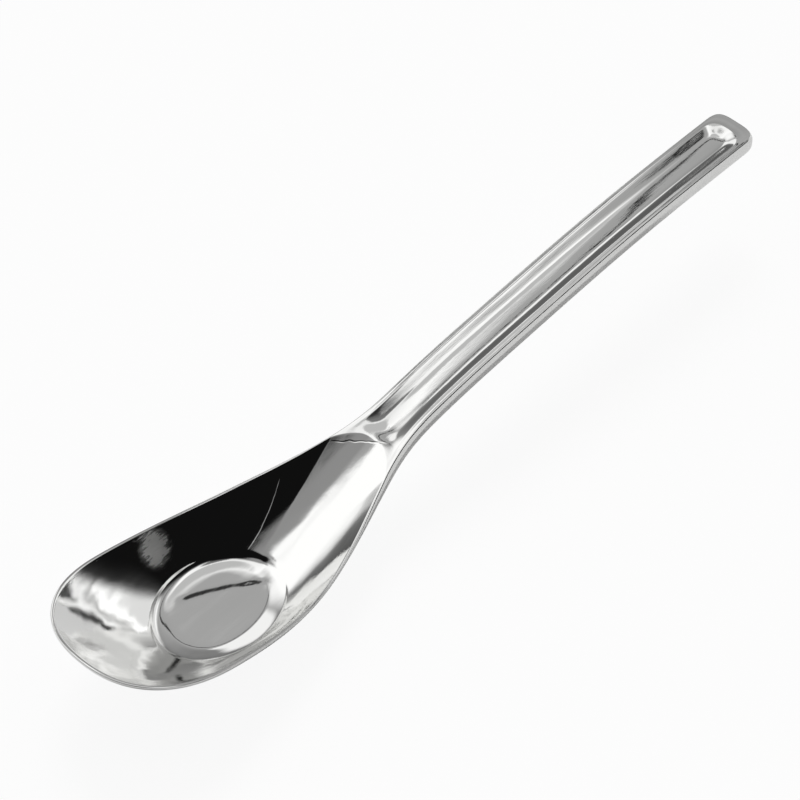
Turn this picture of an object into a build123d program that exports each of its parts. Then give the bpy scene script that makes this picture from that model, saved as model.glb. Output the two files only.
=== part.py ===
from build123d import *
import os
import numpy as np

# Pressed steel soup spoon with a flat oval foot and a closed, hollow handle.
# Millimetres. The origin is the middle of the foot, on the table. +X runs to the handle's tip, +Z is up.

# Plan view, along the spoon from the middle of the foot
NOSE_REACH = 36.7
WIDEST_AT = -13.4
NECK_AT = 53.5
TIP_REACH = 159.7
BOWL_WIDTH = 38.9
HANDLE_WIDTH = 11.7
TIP_ROUND = 5.6

# How full the outline's curves are: exponents, where 2 is an ellipse
NOSE_FULLNESS = 2.34
SHOULDER_FULLNESS = 2.56
NECK_SWEEP = 2.03
TIP_FULLNESS = 3.9
TONGUE_FULLNESS = 2.4

# Heights of the rim and of the handle's face above the table
NOSE_HEIGHT = 21.0
SHOULDER_HEIGHT = 14.9
SIDE_AT = 12.0
SIDE_HEIGHT = 9.7
HIP_AT = 34.0
HIP_HEIGHT = 12.0
NECK_HEIGHT = 17.1
ARCH_HEIGHT = 20.4
CROWN_HEIGHT = 22.9
TIP_HEIGHT = 22.5

# The sheet of the front pressing, the flat of its rim, its oval foot and the hollow of the bowl's walls
SHEET = 1.0
RIM_LAND = 0.5
FOOT_LENGTH = 29.7
FOOT_WIDTH = 23.1
FOOT_EDGE = 2.6
FOOT_LEDGE = 0.25
FOOT_DRAFT = 2.4
FOOT_CORNER = 0.6
WALL_HOLLOW = 0.2

# The bend where the bowl's ramp turns over into the handle, and how far its corners are rounded
BEND_AT = 45.5
BEND_CORNER = 8.0
BEND_SOFTNESS = 0.8

# The handle's section: a flat border that is wider at the tip, then a trough with a slightly hollow floor
BORDER = 1.6
TIP_BORDER = 3.3
TROUGH_WALL = 1.9
TROUGH_DEPTH = 1.0
FLOOR_HOLLOW = 0.1
TROUGH_START = 38.0
TROUGH_FULL = 64.0

# Where the handle's turned-down wall is full, and where it has faded out beside the bowl
WALL_FULL = 46.0
WALL_END = 20.0

# The back cover, with a rounded tongue that lies on the bowl's back, and the weld bead that holds it
COVER_SHEET = 0.6
TONGUE_LENGTH = 12.0
SEAT_GAP = 0.1
SIDE_GAP = 0.1
BEAD_WIDTH = 0.8
BEAD_HEIGHT = 0.15
BEAD_RECESS = 0.25

# Spacing of the points that long curves pass through, and lengths that only have to be large enough
STEP_ALONG = 12.0
STEP_AT_NECK = 3.0
ROUND_POINTS = 6
PROBE = 0.01
MARGIN = 3.0
DEEP = 100.0

WALL_DEPTH = TROUGH_DEPTH + FLOOR_HOLLOW + SHEET + SEAT_GAP + COVER_SHEET + BEAD_HEIGHT + BEAD_RECESS


def ease(t):
    """Smooth step from 0 to 1."""
    t = np.clip(t, 0.0, 1.0)
    return t * t * (3.0 - 2.0 * t)


def soft_min(a, b, softness):
    """The smaller of two heights, rounded where they cross."""
    near = np.clip(softness - np.abs(a - b), 0.0, None) / softness
    return np.minimum(a, b) - near * near * softness / 4.0


def smooth_line(stations, heights):
    """Natural cubic curve through a few points, as a function of x."""
    xs, zs = np.array(stations), np.array(heights)
    step = np.diff(xs)
    slope = np.diff(zs) / step
    matrix = np.eye(len(xs))
    right = np.zeros(len(xs))
    for i in range(1, len(xs) - 1):
        matrix[i, i - 1:i + 2] = step[i - 1], 2.0 * (step[i - 1] + step[i]), step[i]
        right[i] = 6.0 * (slope[i] - slope[i - 1])
    bend = np.linalg.solve(matrix, right)

    def height(x):
        x = np.clip(x, xs[0], xs[-1])
        i = np.clip(np.searchsorted(xs, x) - 1, 0, len(step) - 1)
        before, after = x - xs[i], xs[i + 1] - x
        curve = (bend[i] * after**3 + bend[i + 1] * before**3) / (6.0 * step[i])
        left = (zs[i] / step[i] - bend[i] * step[i] / 6.0) * after
        return curve + left + (zs[i + 1] / step[i] - bend[i + 1] * step[i] / 6.0) * before

    return height


HANDLE_LENGTH = TIP_REACH - NECK_AT
rim_height = smooth_line(
    [-NOSE_REACH, WIDEST_AT, SIDE_AT, HIP_AT, NECK_AT,
     NECK_AT + HANDLE_LENGTH / 4, NECK_AT + HANDLE_LENGTH * 5 / 8, TIP_REACH],
    [NOSE_HEIGHT, SHOULDER_HEIGHT, SIDE_HEIGHT, HIP_HEIGHT, NECK_HEIGHT,
     ARCH_HEIGHT, CROWN_HEIGHT, TIP_HEIGHT],
)


def full_width(x):
    """Half the plan width at x, before the handle's end is rounded off."""
    bowl, handle = BOWL_WIDTH / 2, HANDLE_WIDTH / 2
    to_nose = np.clip((WIDEST_AT - x) / (WIDEST_AT + NOSE_REACH), 0.0, 1.0)
    to_neck = np.clip((x - WIDEST_AT) / (NECK_AT - WIDEST_AT), 0.0, 1.0)
    front = bowl * (1.0 - to_nose**NOSE_FULLNESS) ** (1.0 / NOSE_FULLNESS)
    back = handle + (bowl - handle) * (1.0 - to_neck**SHOULDER_FULLNESS) ** NECK_SWEEP
    return np.where(x < WIDEST_AT, front, back)


def fan_line(angle):
    """Reach and height, at an angle round the foot, of the line that the bowl's walls rise to.

    It is the rim, closed across the neck at the bend.
    """
    turn = np.linspace(0.0, np.pi, 40 * ROUND_POINTS)
    x = NECK_AT - (NECK_AT + NOSE_REACH) * (1.0 - np.cos(turn)) / 2
    y = full_width(x)
    rim = np.interp(np.abs(angle), np.arctan2(y, x), np.hypot(x, y))
    bend = BEND_AT / np.clip(np.cos(angle), BEND_AT / DEEP, None)
    reach = soft_min(rim, bend, BEND_CORNER) - RIM_LAND
    return reach, rim_height(reach * np.cos(angle))


def share_at(level, rise):
    """How far out from the foot to the rim a wall has come at a height, with its small hollow."""
    straight = 1.0 - WALL_HOLLOW
    part = (level - FOOT_EDGE) / rise
    return (np.sqrt(straight**2 + 4.0 * WALL_HOLLOW * part) - straight) / (2.0 * WALL_HOLLOW)


def wall_point(angle, level):
    """Point of the bowl's inner face at an angle round the foot and a height."""
    foot = 1.0 / np.hypot(np.cos(angle) / (FOOT_LENGTH / 2), np.sin(angle) / (FOOT_WIDTH / 2)) + FOOT_LEDGE
    rim, height = fan_line(angle)
    reach = foot + (rim - foot) * share_at(level, height - FOOT_EDGE)
    return np.array([reach * np.cos(angle), reach * np.sin(angle), level + 0 * reach])


def funnel_section(level, out):
    """Level section through the bowl's inner face, or through the face that lies a distance outside it."""
    angle = np.pi * np.linspace(0.0, 1.0, 4 * ROUND_POINTS) ** 1.5
    point = wall_point(angle, level)
    round_foot = wall_point(angle + PROBE, level) - wall_point(angle - PROBE, level)
    upward = wall_point(angle, level + PROBE) - point
    normal = np.cross(round_foot.T, upward.T).T
    normal = normal / np.linalg.norm(normal, axis=0)
    flat = np.hypot(normal[0], normal[1])
    x, y = point[:2] + normal[:2] * out / flat**2
    y[[0, -1]] = 0.0
    far = Spline(*zip(x, y, point[2]), tangents=[(0, 1, 0), (0, -1, 0)])
    return make_face([far, mirror(far, Plane.XZ)])


def funnel(out):
    """The space that the bowl's walls enclose, from the foot's edge to above the rim."""
    top = NOSE_HEIGHT + MARGIN
    levels = [FOOT_EDGE, FOOT_EDGE + (top - FOOT_EDGE) / 3, FOOT_EDGE + (top - FOOT_EDGE) * 2 / 3, top]
    return loft([funnel_section(level, out) for level in levels])


def trough_depth(x):
    """Depth of the trough below the handle's border. It starts above the border, so that it runs out on it."""
    return TROUGH_DEPTH * (1.5 * ease((x - TROUGH_START) / (TROUGH_FULL - TROUGH_START)) - 0.5)


def spine_height(x):
    """Height of the front pressing's upper face along its middle, from the ramp over the bend to the tip."""
    foot = FOOT_LENGTH / 2 + FOOT_LEDGE
    bend = BEND_AT - RIM_LAND
    share = (x - foot) / (bend - foot)
    rise = rim_height(bend) - FOOT_EDGE
    ramp = FOOT_EDGE + rise * share * (1.0 - WALL_HOLLOW + WALL_HOLLOW * share)
    return soft_min(ramp, rim_height(x) - np.clip(trough_depth(x) + FLOOR_HOLLOW, 0.0, None), BEND_SOFTNESS)


def cover_height(x):
    """Upper face of the back cover, which follows the front pressing's underside."""
    slope = (spine_height(x + PROBE) - spine_height(x - PROBE)) / (2 * PROBE)
    return spine_height(x) - SHEET * np.hypot(1.0, slope) - SEAT_GAP


def stations(start, end, step=STEP_ALONG):
    """Evenly spaced places along the spoon."""
    return np.linspace(start, end, 2 + round((end - start) / step))


def handle_stations(start):
    """Places along the handle, close together at the neck."""
    return np.append(stations(start, TROUGH_FULL, STEP_AT_NECK), stations(TROUGH_FULL, TIP_REACH)[1:])


def side_curve(x, height):
    """A curve in the side view."""
    return Spline(*zip(x, 0 * x, height))


def side_band(upper, lower):
    """The full-width slab between two curves of the side view."""
    ends = [Line(upper @ 0, lower @ 0), Line(upper @ 1, lower @ 1)]
    return extrude(make_face([upper, lower] + ends), BOWL_WIDTH, both=True)


def above_rim(drop):
    """Everything above the rim and the handle's face, or above a face a little lower."""
    x = stations(-NOSE_REACH - MARGIN, TIP_REACH + MARGIN)
    return side_band(Line((x[0], 0, DEEP), (x[-1], 0, DEEP)), side_curve(x, rim_height(x) - drop))


def round_end(start, length, half, fullness, inset):
    """Rounded end of an outline, from its far side to its near side, moved in. A negative length faces -X."""
    turn = np.linspace(np.pi / 2, -np.pi / 2, 2 * ROUND_POINTS + 1)
    power = 2.0 / fullness
    along = np.cos(turn).clip(0.0) ** power
    across = np.sign(turn) * np.abs(np.sin(turn)) ** power
    out_x = along ** (fullness - 1.0) / length
    out_y = np.sign(across) * np.abs(across) ** (fullness - 1.0) / half
    size = inset / np.hypot(out_x, out_y)
    way = float(np.sign(length))
    points = zip(start + length * along - size * out_x, half * across - size * out_y)
    return Spline(*points, tangents=[(way, 0), (-way, 0)])


def handle_end(inset):
    """The end of the handle in plan."""
    return round_end(TIP_REACH - TIP_ROUND, TIP_ROUND, HANDLE_WIDTH / 2, TIP_FULLNESS, inset)


def block(*curves):
    """A tall block over a closed outline."""
    return Pos(0, 0, -DEEP / 2) * extrude(make_face(curves), DEEP)


def spoon_block(inset=0.0):
    """A block over the spoon's outline, or over one that lies inside it."""
    nose = round_end(WIDEST_AT, -WIDEST_AT - NOSE_REACH, BOWL_WIDTH / 2, NOSE_FULLNESS, inset)
    tip = handle_end(inset)
    x = np.linspace(WIDEST_AT, NECK_AT, 2 * ROUND_POINTS)
    slope = (full_width(x + PROBE) - full_width(x - PROBE)) / (2 * PROBE)
    slope[[0, -1]] = 0.0
    size = inset / np.hypot(1.0, slope)
    far = Spline(*zip(x + slope * size, full_width(x) - size), tangents=[(1, 0), (1, 0)])
    near = mirror(far, Plane.XZ)
    return block(nose, far, near, tip, Line(far @ 1, tip @ 0), Line(near @ 1, tip @ 1))


def cover_block(inset):
    """A block over the cover's outline, moved in from the inner faces of the handle's walls."""
    tongue = round_end(NECK_AT, -TONGUE_LENGTH, HANDLE_WIDTH / 2 - SHEET, TONGUE_FULLNESS, inset)
    tip = handle_end(SHEET + inset)
    return block(tongue, tip, Line(tongue @ 0, tip @ 0), Line(tongue @ 1, tip @ 1))


def oval(length, width, height):
    """A level oval face."""
    return Pos(0, 0, height) * Ellipse(length / 2, width / 2)


def foot_solid(grow, floor):
    """The foot's tapered oval, from its floor to above its edge, with a rounded lower corner."""
    draft = FOOT_DRAFT / (FOOT_EDGE - SHEET)
    grow = grow * np.hypot(1.0, draft)
    top = FOOT_EDGE + SHEET / 2
    low = 2 * (grow - draft * (FOOT_EDGE - floor))
    high = 2 * (grow + draft * (top - FOOT_EDGE))
    sole = oval(FOOT_LENGTH + low, FOOT_WIDTH + low, floor)
    mouth = oval(FOOT_LENGTH + high, FOOT_WIDTH + high, top)
    solid = loft([sole, mouth])
    return fillet(solid.edges().sort_by(Axis.Z)[0], FOOT_CORNER)


def trough(out):
    """The space over the trough, or the same grown by a sheet thickness."""
    x = handle_stations(TROUGH_START)
    path = side_curve(x, rim_height(x) - trough_depth(x))
    slant = TROUGH_WALL / TROUGH_DEPTH
    floor = HANDLE_WIDTH / 2 - BORDER - TROUGH_WALL + out * (np.hypot(1.0, slant) - slant)
    lip = floor + slant * WALL_DEPTH
    sole = ThreePointArc((-floor, -out), (0, -out - FLOOR_HOLLOW), (floor, -out))
    sides = Polyline(sole @ 1, (lip, WALL_DEPTH - out), (-lip, WALL_DEPTH - out), sole @ 0)
    tool = sweep(Plane(path @ 0, x_dir=(0, 1, 0), z_dir=path % 0) * make_face([sole, sides]), path)
    wider = floor - (HANDLE_WIDTH / 2 - BORDER - TROUGH_WALL)
    end = Vector(TIP_REACH - TIP_BORDER - TROUGH_WALL + wider, 0, TIP_HEIGHT - TROUGH_DEPTH - out)
    slope = np.degrees(np.arctan(slant))
    tool -= Pos(end) * Rot(0, slope, 0) * Pos(DEEP / 2, 0, 0) * Box(DEEP, DEEP, DEEP)
    return tool


def side_wall():
    """The turned-down wall: deep on the handle, fading into the sheet's own edge beside the bowl."""
    x = stations(WALL_END, TIP_REACH + MARGIN)
    depth = SHEET / 2 + (WALL_DEPTH - SHEET / 2) * ease((x - WALL_END) / (WALL_FULL - WALL_END))
    upper = side_curve(x, rim_height(x) - SHEET / 4)
    lower = side_curve(x, rim_height(x) - depth)
    return side_band(upper, lower) - spoon_block(SHEET)


def front_pressing():
    """Bowl, foot and handle face in one sheet, with the handle's edges turned down."""
    outside = above_rim(SHEET) + [funnel(SHEET), trough(SHEET), foot_solid(SHEET, 0.0), side_wall()]
    sheet = outside - [above_rim(0.0), funnel(0.0), trough(0.0), foot_solid(0.0, SHEET)]
    return spoon_block() & sheet


def cover_layer(top, bottom):
    """Slab that follows the back cover, between two depths below its upper face."""
    x = handle_stations(NECK_AT - TONGUE_LENGTH - MARGIN)
    return side_band(side_curve(x, cover_height(x) - top), side_curve(x, cover_height(x) - bottom))


def back_cover():
    """Thin plate that closes the handle from below, lying inside the turned-down walls."""
    return cover_block(SIDE_GAP) & cover_layer(0.0, COVER_SHEET)


def seam_bead():
    """Weld bead all round the cover, in the corner between its lower face and the handle's walls."""
    ring = cover_block(0.0) - cover_block(BEAD_WIDTH)
    return ring & cover_layer(COVER_SHEET, COVER_SHEET + BEAD_HEIGHT)


os.makedirs("parts", exist_ok=True)
export_step(front_pressing(), "parts/front_pressing.step")
export_step(back_cover(), "parts/back_cover.step")
export_step(seam_bead(), "parts/seam_bead.step")
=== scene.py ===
import math

import bmesh
import bpy
import numpy as np
from mathutils import Matrix, Vector, kdtree


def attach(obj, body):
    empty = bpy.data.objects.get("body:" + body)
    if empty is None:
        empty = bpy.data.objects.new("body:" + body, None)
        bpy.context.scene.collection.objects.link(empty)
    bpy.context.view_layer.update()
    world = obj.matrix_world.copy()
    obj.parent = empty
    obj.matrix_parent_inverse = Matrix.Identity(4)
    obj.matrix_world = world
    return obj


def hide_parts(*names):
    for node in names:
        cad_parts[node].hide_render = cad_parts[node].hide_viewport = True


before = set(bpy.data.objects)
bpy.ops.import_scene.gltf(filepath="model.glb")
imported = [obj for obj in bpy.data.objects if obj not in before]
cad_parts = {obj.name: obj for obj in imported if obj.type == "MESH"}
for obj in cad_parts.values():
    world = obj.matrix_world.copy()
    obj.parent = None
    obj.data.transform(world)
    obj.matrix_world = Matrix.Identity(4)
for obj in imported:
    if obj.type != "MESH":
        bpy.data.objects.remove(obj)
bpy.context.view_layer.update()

# Front pressing: bowl, foot, neck and handle face, drawn from one sheet of stainless steel and polished
# to a mirror. The handle's edges are turned down, and the plain cut edge of the sheet is the bowl's rim.
# Lengths are in millimetres, and the middle of the foot's underside is the origin.
MM = 0.001
sheet, least_sheet = 1.0, 0.15
nose_reach, widest_at, neck_at, tip_reach = 36.7, -13.4, 53.5, 159.7
bowl_half, handle_half, tip_round = 19.45, 5.85, 5.6
nose_fullness, waist_fullness, waist_sweep = 2.34, 2.56, 2.03
foot_long, foot_wide, foot_edge, foot_ledge = 14.85, 11.55, 2.6, 0.25
rim_land = 0.6
face_half = handle_half - rim_land


def smooth_line(stations, levels):
    """A curve with no kinks through the given heights, as a function of the place along the spoon."""
    xs, zs = np.array(stations), np.array(levels)
    step = np.diff(xs)
    matrix, right = np.eye(len(xs)), np.zeros(len(xs))
    for i in range(1, len(xs) - 1):
        matrix[i, i - 1:i + 2] = step[i - 1], 2 * (step[i - 1] + step[i]), step[i]
        right[i] = 6 * ((zs[i + 1] - zs[i]) / step[i] - (zs[i] - zs[i - 1]) / step[i - 1])
    bend = np.linalg.solve(matrix, right)

    def level(x):
        x = np.clip(x, xs[0], xs[-1])
        i = np.clip(np.searchsorted(xs, x) - 1, 0, len(step) - 1)
        before, after = x - xs[i], xs[i + 1] - x
        cubic = (bend[i] * after**3 + bend[i + 1] * before**3) / (6 * step[i])
        left = (zs[i] / step[i] - bend[i] * step[i] / 6) * after
        return cubic + left + (zs[i + 1] / step[i] - bend[i + 1] * step[i] / 6) * before

    return level


def ease(t):
    """Smooth step from 0 to 1."""
    t = np.clip(t, 0, 1)
    return t * t * (3 - 2 * t)


def half_width(x):
    """Half the spoon's width in plan."""
    to_nose = np.clip((widest_at - x) / (widest_at + nose_reach), 0, 1)
    to_neck = np.clip((x - widest_at) / (neck_at - widest_at), 0, 1)
    front = bowl_half * (1 - to_nose**nose_fullness) ** (1 / nose_fullness)
    back = handle_half + (bowl_half - handle_half) * (1 - to_neck**waist_fullness) ** waist_sweep
    return np.where(x < widest_at, front, back)


def left_of(x, y, shift):
    """A closed outline moved to its left: inwards if it runs anticlockwise, outwards if it runs clockwise."""
    along_x, along_y = np.roll(x, -1) - np.roll(x, 1), np.roll(y, -1) - np.roll(y, 1)
    size = np.hypot(along_x, along_y)
    return x - shift * along_y / size, y + shift * along_x / size


# Heights of the bowl's rim and of the handle's border, from the nose to the tip
rim_level = smooth_line([-nose_reach, widest_at, 12.0, 34.0, neck_at, 80.05, 119.9, tip_reach],
                        [21.0, 14.9, 9.7, 12.0, 17.1, 20.4, 22.9, 22.5])

# Half the handle's section: the place across it, its height from the border, and how far from the tip its
# line turns. It has the trough's floor and wall, the lip, and the border with its two fine ridges.
handle_section = np.array([
    [0.0, -1.12, 8.0], [1.0, -1.11, 7.2], [1.5, -1.08, 6.6], [1.95, -1.02, 6.1], [2.35, -0.9, 5.6],
    [3.1, -0.52, 4.8], [3.85, -0.13, 4.0],
    [4.08, -0.03, 3.75], [4.24, 0.02, 3.55], [4.42, -0.03, 3.2],
    [4.66, -0.07, 2.5], [4.9, -0.055, 1.8], [5.08, -0.09, 1.2], [5.25, -0.095, 0.6],
])
across, sunk, from_tip = handle_section.T
side_steps = across / across[-1]
columns = np.concatenate([-side_steps[:0:-1], side_steps])

# The bend between bowl and handle is bowed, and pressed down in its middle. The trough starts there.
bend_at, bend_bulge, bend_dip = 45.5, 5.5, 0.4
bow_run, dip_run = 14, 16
trough_lead, trough_run, trough_side_run = 0.4, 4.3, 4
neck_shifts = (0.4, 1.0, 2.2, 4.0, 7.0, 10.5, 14.5)
straight_places = np.linspace(68, 148, 11)
tip_fullness, tip_corner_fullness, tip_corner_shift = 2.0, 1.9, 0.25
tiny = 1e-12


def dip_across(level):
    """How far the bend is pressed down: nothing at its two ends, and most in the middle."""
    return bend_dip * (1 - level**2) ** 2


def neck_row(shift):
    """Places in a row across the neck, bowed like the bend and then straight."""
    bow = bend_bulge * (1 - ease(shift / bow_run))
    edge = half_width(np.array(bend_at + shift - bow))
    return bend_at + shift - bow * columns**2, columns * (edge - rim_land)


def handle_points(x, y, level):
    """Points on the handle's face, from their places in plan and their levels in the section."""
    started = ease((x - bend_at + trough_lead) / (trough_run + trough_side_run * level))
    dip = dip_across(level) * (1 - ease((x - bend_at) / dip_run))
    z = rim_level(x) + np.interp(level * across[-1], across, sunk) * started - dip
    return np.stack([x, y, z], axis=1)


def straight_row(x):
    """Points on the handle's face in a straight row across it."""
    return handle_points(x + 0 * columns, columns * face_half, np.abs(columns))


def tip_row(along):
    """Points on the handle's face in a row across its end, where the rows turn into the tip's outline."""
    level = np.maximum(along, np.abs(columns))
    fullness = tip_fullness + tip_corner_fullness * level**4
    pull = level / (along**fullness + np.abs(columns) ** fullness + tiny) ** (1 / fullness)
    end_at = tip_reach - np.interp(level, side_steps, from_tip)
    turn_at = end_at - level * face_half + tip_corner_shift * level**6
    x = turn_at + (end_at - turn_at) * along * pull / np.maximum(level, tiny)
    return handle_points(x, columns * face_half * pull, level)


# The bowl's walls rise in columns of points from the foot's edge to a line that is the rim and then the
# bend. Rim and bend together have 72 points, because the circle that they start from needs a multiple of 4.
rim_columns, fine_steps = 46, 600
bend_x, bend_y = neck_row(0.0)
corner_x = bend_x[-1]
turn = np.linspace(0, math.pi, fine_steps)
fine_x = corner_x - (corner_x + nose_reach) * (1 - np.cos(turn)) / 2
fine_y = half_width(fine_x)
run = np.concatenate([[0], np.cumsum(np.hypot(np.diff(fine_x), np.diff(fine_y)))])
stops = np.linspace(0, 1, rim_columns // 2 + 1) * run[-1]
side_x, side_y = np.interp(stops, run, fine_x), np.interp(stops, run, fine_y)
loop_x = np.concatenate([bend_x, side_x[1:], side_x[-2:0:-1]])
loop_y = np.concatenate([bend_y, side_y[1:], -side_y[-2:0:-1]])
cut_x, cut_y = left_of(loop_x, loop_y, rim_land)
inner_x = np.concatenate([bend_x, cut_x[len(columns):]])
inner_y = np.concatenate([bend_y, cut_y[len(columns):]])
count = len(inner_x)
middle = len(columns) // 2
foot_angle = np.arctan2(inner_y, inner_x)


def foot_ring(grow, level):
    """An oval ring of points, a little wider or narrower than the foot's upper edge."""
    turn_x, turn_y = np.cos(foot_angle), np.sin(foot_angle)
    reach = 1 / np.hypot(turn_x / foot_long, turn_y / foot_wide) + grow
    return np.stack([reach * turn_x, reach * turn_y, 0 * foot_angle + level], axis=1)


rim_ring = np.stack([inner_x, inner_y, rim_level(inner_x)], axis=1)
rim_ring[:len(columns), 2] -= dip_across(columns)
wall_foot = foot_ring(foot_ledge, foot_edge)
wall_hollow, wall_step = 0.2, 0.01
wall_shares = (0.02, 0.06, 0.15, 0.3, 0.48, 0.67, 0.85, 0.95, 0.985)
back_shares = (0.02, 0.14, 0.38, 0.64, 0.86, 0.93)


def wall_ring(share):
    """Points on the bowl's inner face, a share of the way up from the foot's edge to the rim."""
    points = wall_foot + (rim_ring - wall_foot) * share
    climb = share * (1 - wall_hollow + wall_hollow * share)
    points[:, 2] = foot_edge + (rim_ring[:, 2] - foot_edge) * climb
    return points


def wall_back(share):
    """Points on the bowl's outer face, one sheet thickness behind the inner face."""
    points = wall_ring(share)
    round_bowl = np.roll(points, -1, axis=0) - np.roll(points, 1, axis=0)
    upward = wall_ring(share + wall_step) - points
    normal = np.cross(round_bowl, upward)
    points += sheet * normal / np.linalg.norm(normal, axis=1, keepdims=True)
    points[:len(columns), 2] += dip_across(columns) * share
    return points


# The foot's recess, ring by ring: the distance outside the foot's upper edge, with a minus inside it, and the
# height on the near and on the far side, where the floor runs out further and the wall starts more sharply
foot_steps = [
    (-9.5, 1.3, 1.3), (-8.0, 1.3, 1.3), (-5.8, 1.3, 1.302), (-4.2, 1.302, 1.314),
    (-3.7, 1.32, 1.324), (-3.2, 1.41, 1.34), (-2.2, 1.7, 1.405), (-1.2, 1.98, 1.57),
    (-0.5, 2.2, 1.86), (-0.1, 2.34, 2.16), (0.2, 2.46, 2.44),
]
far_side_at, far_side_spread = math.radians(80), 0.9
far_side = ease(0.5 + far_side_spread * np.cos(foot_angle - far_side_at))
top_rings = [foot_ring(grow, near + (far - near) * far_side) for grow, near, far in foot_steps]
top_rings += [wall_ring(share) for share in wall_shares] + [rim_ring]
top_rows = [handle_points(*neck_row(shift), np.abs(columns)) for shift in neck_shifts]
top_rows += [straight_row(x) for x in straight_places] + [tip_row(along) for along in side_steps]

# The back follows the top, one sheet thickness below. The cover's upper face lies close below the trough's
# start, here as heights from the border at places along the spoon, so the sheet is drawn thin there.
foot_underside = [(-5.6, 0.35), (-3.2, 0.06), (-2.2, 0.0), (-1.2, 0.1), (-0.4, 0.6), (0.2, 1.2)]
cover_at = [45, 47, 50, 54, 58, 62]
cover_top = [-1.3, -1.14, -1.34, -1.68, -1.97, -2.17]
back_rings = [foot_ring(grow, level) for grow, level in foot_underside]
back_rings += [wall_back(share) for share in back_shares]
back_rows = []
for row in top_rows:
    x, y, z = row.T
    cover_face = rim_level(x) + np.interp(x, cover_at, cover_top)
    under = np.minimum(np.maximum(z - sheet, cover_face), z - least_sheet)
    back_rows.append(np.stack([x, y * ((handle_half - sheet) / face_half), under], axis=1))
tip_middle = tip_reach - tip_round
for row in back_rows[-len(side_steps):]:
    row[:, 0] = tip_middle + (row[:, 0] - tip_middle) * (tip_round - sheet) / (tip_round - rim_land)

same_place = 0.0001 * MM


def points_tree(points):
    """A finder for the nearest of some points."""
    tree = kdtree.KDTree(len(points))
    for i, point in enumerate(points):
        tree.insert(Vector(point) * MM, i)
    tree.balance()
    return tree


def extrude_row(mesh, start, end):
    """Extrude the open edges that lie along one row of points, and move them out to the next row."""
    tree = points_tree(start)
    bpy.ops.mesh.select_all(action="DESELECT")
    grid = bmesh.from_edit_mesh(mesh)
    for edge in grid.edges:
        if edge.is_boundary and all(tree.find(vertex.co)[2] < same_place for vertex in edge.verts):
            edge.select_set(True)
    bpy.ops.mesh.extrude_edges_indiv()
    grid = bmesh.from_edit_mesh(mesh)
    for vertex in grid.verts:
        if vertex.select:
            vertex.co = Vector(end[tree.find(vertex.co)[1]]) * MM
    bmesh.update_edit_mesh(mesh)


def pressed_face(name, rings, rows):
    """One face of the pressing: a disc in the foot, ring by ring to the rim, then row by row to the tip."""
    bpy.ops.object.select_all(action="DESELECT")
    bpy.ops.mesh.primitive_circle_add(vertices=count, radius=1, fill_type="TRIFAN")
    face = bpy.context.object
    face.name = name
    bpy.ops.object.mode_set(mode="EDIT")
    bpy.ops.mesh.select_mode(type="EDGE")
    grid = bmesh.from_edit_mesh(face.data)
    for vertex in grid.verts:
        if vertex.is_boundary:
            steps = round(math.atan2(vertex.co.y, vertex.co.x) / math.tau * count)
            vertex.co = Vector(rings[0][(steps + middle) % count]) * MM
        else:
            vertex.co = (0, 0, rings[0][0][2] * MM)
    bmesh.update_edit_mesh(face.data)
    for start, end in zip(rings, rings[1:]):
        extrude_row(face.data, start, end)
    for start, end in zip([rings[-1][:len(columns)]] + rows, rows):
        extrude_row(face.data, start, end)
    bpy.ops.object.mode_set(mode="OBJECT")
    return face


spoon = pressed_face("front_pressing_polished", top_rings, top_rows)
back = pressed_face("front_pressing_back", back_rings, back_rows)
bpy.ops.object.select_all(action="DESELECT")
back.select_set(True)
spoon.select_set(True)
bpy.context.view_layer.objects.active = spoon
bpy.ops.object.join()

# The edge all round joins the two faces, in steps inwards from the outline and down from the top. On the
# handle it is the turned-down wall with its lower edge, and on the bowl the rim's narrow flat and cut edge.
wall_profile = [
    (0.5, -0.06), (0.42, -0.17), (0.28, -0.46), (0.11, -0.92), (0.03, -1.1), (0.0, -1.22), (0.0, -2.0),
    (0.0, -2.95), (0.07, -3.13), (0.25, -3.2), (0.75, -3.2), (0.95, -3.13), (1.0, -2.9), (1.0, -2.0),
]
rim_profile = [
    (0.3, 0.0), (0.1, -0.02), (0.03, -0.08), (0.0, -0.2), (0.0, -0.32), (0.0, -0.44), (0.0, -0.56),
    (0.0, -0.68), (0.03, -0.78),
]
rim_foot, rim_lead = (0.08, -0.84), 0.4
turned_from, turned_over = 20, 26


def edge_loop(ring, rows):
    """Points along a face's open edge: up one side of the handle, round the tip, back, and round the rim."""
    corner = len(columns) - 1
    handle = [row[-1] for row in rows[:-1]] + list(rows[-1][::-1]) + [row[0] for row in rows[-2::-1]]
    return np.array([ring[corner]] + handle + [ring[0]] + list(ring[:corner:-1]))


edge_start, edge_end = edge_loop(rim_ring, top_rows), edge_loop(back_rings[-1], back_rows)
out_x, out_y = left_of(edge_start[:, 0], edge_start[:, 1], rim_land)
outward = np.stack([out_x - edge_start[:, 0], out_y - edge_start[:, 1], 0 * out_x], axis=1)
outward = outward / np.linalg.norm(outward, axis=1, keepdims=True)
outline = edge_start + outward * rim_land
turned = ease((edge_start[:, 0] - turned_from) / turned_over)[:, None]


def edge_row(inset, drop):
    """Points all round the edge, inside its outline and below its top."""
    return outline - outward * inset + np.array([0, 0, drop])


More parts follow.
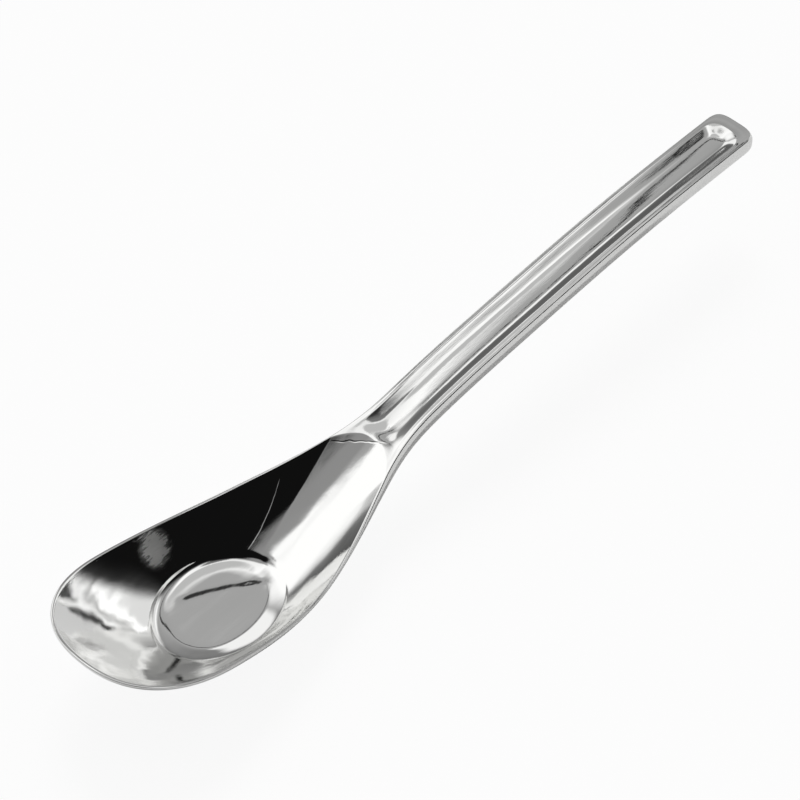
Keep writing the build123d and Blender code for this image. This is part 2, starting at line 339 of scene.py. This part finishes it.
bpy.ops.object.mode_set(mode="EDIT")
edge_now = edge_start
for i, step in enumerate(wall_profile):
    if i < len(rim_profile):
        on_rim = edge_row(*rim_profile[i])
    else:
        share = (i - len(rim_profile) + rim_lead) / (len(wall_profile) - len(rim_profile) + rim_lead)
        on_rim = edge_row(*rim_foot) * (1 - share) + edge_end * share
    edge_next = on_rim + (edge_row(*step) - on_rim) * turned
    extrude_row(spoon.data, edge_now, edge_next)
    edge_now = edge_next
extrude_row(spoon.data, edge_now, edge_end)
bpy.ops.mesh.select_all(action="SELECT")
bpy.ops.mesh.remove_doubles(threshold=same_place)
bpy.ops.mesh.normals_make_consistent(inside=False)
bpy.ops.object.mode_set(mode="OBJECT")
polish = spoon.modifiers.new("polish", "SUBSURF")
polish.levels = 2
polish.render_levels = 2
bpy.ops.object.modifier_apply(modifier="polish")
bpy.ops.object.shade_smooth()


def feed(graph, slot, value):
    """Link another node to a slot, or set the slot to a plain value."""
    if isinstance(value, bpy.types.NodeSocket):
        graph.links.new(value, slot)
    else:
        slot.default_value = value


def worked_out(graph, operation, *values):
    """The result of one step of arithmetic."""
    maths = graph.nodes.new("ShaderNodeMath")
    maths.operation = operation
    for slot, value in zip(maths.inputs, values):
        feed(graph, slot, value)
    return maths.outputs[0]


def eased(graph, value, start, end, low, high):
    """A value's way from start to end, as a smooth step from low to high."""
    step_node = graph.nodes.new("ShaderNodeMapRange")
    step_node.interpolation_type = "SMOOTHSTEP"
    for socket, limit in zip(("From Min", "From Max", "To Min", "To Max"), (start, end, low, high)):
        step_node.inputs[socket].default_value = limit
    graph.links.new(value, step_node.inputs["Value"])
    return step_node.outputs["Result"]


def drawn_noise(graph, place, squeeze, scale, detail):
    """Noise that is drawn out along the spoon."""
    drawn = graph.nodes.new("ShaderNodeMapping")
    drawn.inputs["Scale"].default_value = (squeeze, 1.0, 1.0)
    graph.links.new(place, drawn.inputs["Vector"])
    noise = graph.nodes.new("ShaderNodeTexNoise")
    feed(graph, noise.inputs["Scale"], scale)
    noise.inputs["Detail"].default_value = detail
    graph.links.new(drawn.outputs[0], noise.inputs["Vector"])
    return noise.outputs[0]


# Polishing marks, for every steel piece: slow waves left by the wheel, streaks, and fine lines, all of them
# drawn out along the spoon
marks = bpy.data.node_groups.new("polishing_marks", "ShaderNodeTree")
marks.interface.new_socket("Vector", in_out="INPUT", socket_type="NodeSocketVector")
for socket in ("Wave Size", "Wave Height", "Streak Height", "Line Height", "Roughness", "Dullness"):
    marks.interface.new_socket(socket, in_out="INPUT", socket_type="NodeSocketFloat")
for socket in ("Height", "Roughness"):
    marks.interface.new_socket(socket, in_out="OUTPUT", socket_type="NodeSocketFloat")
onward = marks.nodes.new("NodeGroupOutput")
given = marks.nodes.new("NodeGroupInput").outputs
waves = drawn_noise(marks, given["Vector"], squeeze=0.3, scale=given["Wave Size"], detail=1.0)
streaks = drawn_noise(marks, given["Vector"], squeeze=0.12, scale=300, detail=1.0)
lines = drawn_noise(marks, given["Vector"], squeeze=0.04, scale=5000, detail=2.0)
height = worked_out(marks, "MULTIPLY", waves, given["Wave Height"])
height = worked_out(marks, "MULTIPLY_ADD", streaks, given["Streak Height"], height)
height = worked_out(marks, "MULTIPLY_ADD", lines, given["Line Height"], height)
worn = worked_out(marks, "MULTIPLY_ADD", lines, given["Dullness"], given["Roughness"])
marks.links.new(height, onward.inputs["Height"])
marks.links.new(worn, onward.inputs["Roughness"])
mark_height = 0.3


def marked_steel(name, colour, values):
    """A steel with the polishing marks at values of its own, and the nodes that other marks join."""
    metal = bpy.data.materials.new(name)
    metal.use_nodes = True
    graph = metal.node_tree
    shader = graph.nodes["Principled BSDF"]
    shader.inputs["Base Color"].default_value = colour
    shader.inputs["Metallic"].default_value = 1.0
    spot = graph.nodes.new("ShaderNodeTexCoord")
    finish = graph.nodes.new("ShaderNodeGroup")
    finish.node_tree = marks
    for socket, value in values.items():
        finish.inputs[socket].default_value = value
    graph.links.new(spot.outputs["Object"], finish.inputs["Vector"])
    ripple = graph.nodes.new("ShaderNodeBump")
    ripple.inputs["Strength"].default_value = 1.0
    ripple.inputs["Distance"].default_value = mark_height * MM
    graph.links.new(finish.outputs["Height"], ripple.inputs["Height"])
    graph.links.new(ripple.outputs[0], shader.inputs["Normal"])
    graph.links.new(finish.outputs["Roughness"], shader.inputs["Roughness"])
    return metal, shader, spot, finish, ripple


polished, shader, spot, finish, ripple = marked_steel("polished_steel", (0.80, 0.80, 0.79, 1), {
    "Wave Size": 130, "Wave Height": 0.6, "Streak Height": 0.2, "Line Height": 0.02,
    "Roughness": 0.01, "Dullness": 0.04,
})
press_graph = polished.node_tree


def reach_from(centre):
    """Distance of the shaded place from a point of the spoon."""
    reach = press_graph.nodes.new("ShaderNodeVectorMath")
    reach.operation = "DISTANCE"
    reach.inputs[1].default_value = [place * MM for place in centre]
    press_graph.links.new(spot.outputs["Object"], reach.inputs[0])
    return reach.outputs["Value"]


def by_reach(centre, start, end, low, high):
    """A smooth step from low to high, between two distances from a point of the spoon."""
    return eased(press_graph, reach_from(centre), start * MM, end * MM, low, high)


def scored(centre, radius, width, sway, middle, length):
    """A fine wavering groove along an arc, which fades towards both its ends."""
    waver = press_graph.nodes.new("ShaderNodeTexNoise")
    waver.inputs["Scale"].default_value = 260
    press_graph.links.new(spot.outputs["Object"], waver.inputs["Vector"])
    swing = worked_out(press_graph, "MULTIPLY_ADD", waver.outputs[0], sway * MM, reach_from(centre))
    off = worked_out(press_graph, "SUBTRACT", swing, (radius + sway / 2) * MM)
    groove = eased(press_graph, worked_out(press_graph, "ABSOLUTE", off), 0, width / 2 * MM, 1, 0)
    return worked_out(press_graph, "MULTIPLY", groove, by_reach(middle, 0.35 * length, 0.5 * length, 1, 0))


facing = press_graph.nodes.new("ShaderNodeSeparateXYZ")
press_graph.links.new(spot.outputs["Normal"], facing.inputs[0])
inner_face = eased(press_graph, facing.outputs["Z"], -0.1, 0.1, 0, 1)


def on_inner_face(mark):
    """A mark that is left out on the spoon's back."""
    return worked_out(press_graph, "MULTIPLY", mark, inner_face)


def lowered(surface, mark, depth):
    """The surface's height, less a mark's depth as a share of the polishing marks' height."""
    return worked_out(press_graph, "MULTIPLY_ADD", on_inner_face(mark), -depth, surface)


# The press leaves a faint curved step across the foot's floor, a fold line at the bend, and a fine score
# up the wall, where there is a scuffed place as well
step_line = by_reach((-26.7, -48.1, 1.3), 58.9, 61.1, 0, 1)
step_place = by_reach((5.3, 2.7, 1.3), 8.5, 12.5, 1, 0)
step_mark = worked_out(press_graph, "MULTIPLY", step_line, step_place)
fold_line = scored(centre=(13.6, -17.8, 14.3), radius=36, width=0.5, sway=1.5,
                   middle=(43.4, 2.2, 14.3), length=13)
score_line = scored(centre=(6.5, 50.95, 6.5), radius=46, width=0.4, sway=0.6,
                    middle=(21.5, 8.0, 6.5), length=19)
flatter_floor = by_reach((0, 0, 1.3), 9, 14, 0.4, 1)
surface = worked_out(press_graph, "MULTIPLY", finish.outputs["Height"], flatter_floor)
for mark, depth in ((step_mark, 0.235), (fold_line, 0.1), (score_line, 0.1)):
    surface = lowered(surface, mark, depth)
press_graph.links.new(surface, ripple.inputs["Height"])
rubbed = by_reach((-1.6, 16.2, 8.3), 0, 5.6, 1, 0)
hatch = drawn_noise(press_graph, spot.outputs["Object"], squeeze=0.15, scale=2600, detail=3.0)
hatched = eased(press_graph, hatch, 0.3, 0.7, 0.3, 0.8)
scuff = worked_out(press_graph, "MULTIPLY", on_inner_face(rubbed), hatched)
dulled = worked_out(press_graph, "ADD", scuff, finish.outputs["Roughness"])
press_graph.links.new(dulled, shader.inputs["Roughness"])
spoon.data.materials.append(polished)
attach(spoon, "root")
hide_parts("front_pressing")

# Back cover: a plain plate of the same stainless steel that closes the handle from below. It lies between
# the turned-down edges, and its rounded tongue lies on the bowl's back at the neck.
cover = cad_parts["back_cover"]
plate = marked_steel("cover_steel", (0.77, 0.77, 0.76, 1), {
    "Wave Size": 90, "Wave Height": 0.5, "Streak Height": 0.15, "Line Height": 0.03,
    "Roughness": 0.08, "Dullness": 0.16,
})[0]
cover.data.materials.clear()
cover.data.materials.append(plate)

# Seam bead: the weld of the same steel, which runs round the cover's edge and joins it to the turned-down
# edges along the handle. It is dressed flush and polished over, and a little darker and duller than the plate.
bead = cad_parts["seam_bead"]
weld = marked_steel("weld_steel", (0.66, 0.66, 0.66, 1), {
    "Wave Size": 900, "Wave Height": 0.25, "Streak Height": 0.1, "Line Height": 0.05,
    "Roughness": 0.2, "Dullness": 0.2,
})[0]
bead.data.materials.clear()
bead.data.materials.append(weld)

# Floor: a plain table top, painted a matt white. The camera sees it close to pure white, the polished steel
# sees a little of that white in it, and it keeps the spoon's shadow.
table_size, table_level = 6, -0.0002
white_to_camera, white_to_steel = 0.92, 0.05
bpy.ops.object.select_all(action="DESELECT")
bpy.ops.mesh.primitive_plane_add(size=table_size, location=(0, 0, table_level))
table = bpy.context.object
table.name = "table_top"
bpy.ops.object.transform_apply(location=True, rotation=True, scale=True)
white = bpy.data.materials.new("table_white")
white.use_nodes = True
coat = white.node_tree
paint = coat.nodes["Principled BSDF"]
paint.inputs["Base Color"].default_value = (0.9, 0.9, 0.9, 1)
paint.inputs["Roughness"].default_value = 0.9
paint.inputs["Specular IOR Level"].default_value = 0.0
glow = coat.nodes.new("ShaderNodeEmission")
rays = coat.nodes.new("ShaderNodeLightPath").outputs
glow_share = worked_out(coat, "MULTIPLY", rays["Is Glossy Ray"], white_to_steel)
glow_share = worked_out(coat, "MULTIPLY_ADD", rays["Is Camera Ray"], white_to_camera, glow_share)
blend = coat.nodes.new("ShaderNodeMixShader")
for slot, source in zip(blend.inputs, (glow_share, paint.outputs[0], glow.outputs[0])):
    coat.links.new(source, slot)
coat.links.new(blend.outputs[0], coat.nodes["Material Output"].inputs["Surface"])
table.data.materials.append(white)

# Light: one broad lamp that gives the shadow, and round the table a tent of plain greys, which the polished
# steel mirrors. It is bright overhead and at both ends of the spoon, and dark on the camera's side.
bpy.ops.object.select_all(action="DESELECT")
bpy.ops.object.light_add(type="SUN", location=(0.1, 0.1, 1))
sun = bpy.context.object
sun.name = "table_light"
sun.rotation_euler = (0, math.radians(46), math.radians(48))
sun.data.energy = 1.6
sun.data.angle = math.radians(24)
sun.visible_glossy = False
world = bpy.data.worlds.new("studio")
bpy.context.scene.world = world
world.use_nodes = True
air = world.node_tree
place = air.nodes.new("ShaderNodeTexCoord")
split = air.nodes.new("ShaderNodeSeparateXYZ")
air.links.new(place.outputs["Generated"], split.inputs[0])

# Greys by height, from the table's level at 0 to overhead at 1: all round, and on the card beyond the handle
tent_greys = [
    (0.0, 0.1), (0.17, 0.14), (0.34, 0.26), (0.64, 0.4), (0.728, 0.46), (0.734, 0.03), (0.752, 0.03),
    (0.758, 0.42), (0.81, 0.45), (0.87, 1.25), (1.0, 1.0),
]
card_greys = [
    (0.0, 0.08), (0.052, 0.07), (0.058, 1.2), (0.085, 1.2), (0.092, 0.72), (0.114, 0.7), (0.117, 0.22),
    (0.123, 0.22), (0.13, 1.3), (0.195, 1.35), (0.215, 0.9), (0.4, 0.86), (0.45, 1.15), (0.53, 1.2),
    (0.6, 0.8), (1.0, 0.8),
]
card_place = (-6, 10, 22, 36)
# Round patches: azimuth and elevation, the angles from there at which each starts to fade and is gone, and
# its grey
patches = [
    (106, 38, 14, 28, 1.25), (62, 29, 8.5, 13, 1.1), (165, 68, 13.5, 21, 0.36),
    (130, 57, 3, 8, 0.42), (25, 70, 11, 16, 0.6), (-88, 75, 7, 12.5, 0.22),
    (-90, 8, 38, 64, 0.006), (-150, 35, 43, 53, 0.006), (153, 67, 4, 14, 0.32),
]


def grey_ramp(greys):
    """Greys that change with the height."""
    ramp = air.nodes.new("ShaderNodeValToRGB")
    stops = ramp.color_ramp.elements
    for at, _ in greys[1:-1]:
        stops.new(at)
    for stop, (_, grey) in zip(stops, greys):
        stop.color = (grey, grey, grey, 1)
    air.links.new(split.outputs["Z"], ramp.inputs[0])
    return ramp.outputs["Color"]


def round_patch(azimuth, elevation, inner, outer):
    """A mask that is 1 within the inner angle of a direction and 0 beyond the outer one."""
    around, up, inner, outer = map(math.radians, (azimuth, elevation, inner, outer))
    level = math.cos(up)
    near = air.nodes.new("ShaderNodeVectorMath")
    near.operation = "DOT_PRODUCT"
    near.inputs[1].default_value = (math.cos(around) * level, math.sin(around) * level, math.sin(up))
    air.links.new(place.outputs["Generated"], near.inputs[0])
    return eased(air, near.outputs["Value"], math.cos(outer), math.cos(inner), 0, 1)


def laid_over(base, mask, cloth):
    """Lay other greys, or one colour, over the tent where a mask is 1."""
    mix = air.nodes.new("ShaderNodeMix")
    mix.data_type = "RGBA"
    air.links.new(mask, mix.inputs["Factor"])
    air.links.new(base, mix.inputs["A"])
    feed(air, mix.inputs["B"], cloth)
    return mix.outputs["Result"]


tent = laid_over(grey_ramp(tent_greys), round_patch(*card_place), grey_ramp(card_greys))
for *patch, grey in patches:
    tent = laid_over(tent, round_patch(*patch), (grey, grey, grey, 1))
air.links.new(tent, air.nodes["Background"].inputs["Color"])

# Camera: a long lens above the bowl's near side, as in a catalogue picture. Its place and direction were
# fitted to the spoon's outline, for a square picture.
bpy.ops.object.camera_add()
camera = bpy.context.object
camera.matrix_world = Matrix((
    (0.6871, 0.5566, -0.4670, -0.2792),
    (-0.7266, 0.5263, -0.4417, -0.3139),
    (0.0, 0.6428, 0.7660, 0.5652),
    (0.0, 0.0, 0.0, 1.0),
))
camera.data.lens = 157.5
camera.data.sensor_width = 36
camera.data.clip_end = 20
bpy.context.scene.camera = camera
bpy.context.scene.view_settings.view_transform = "Standard"
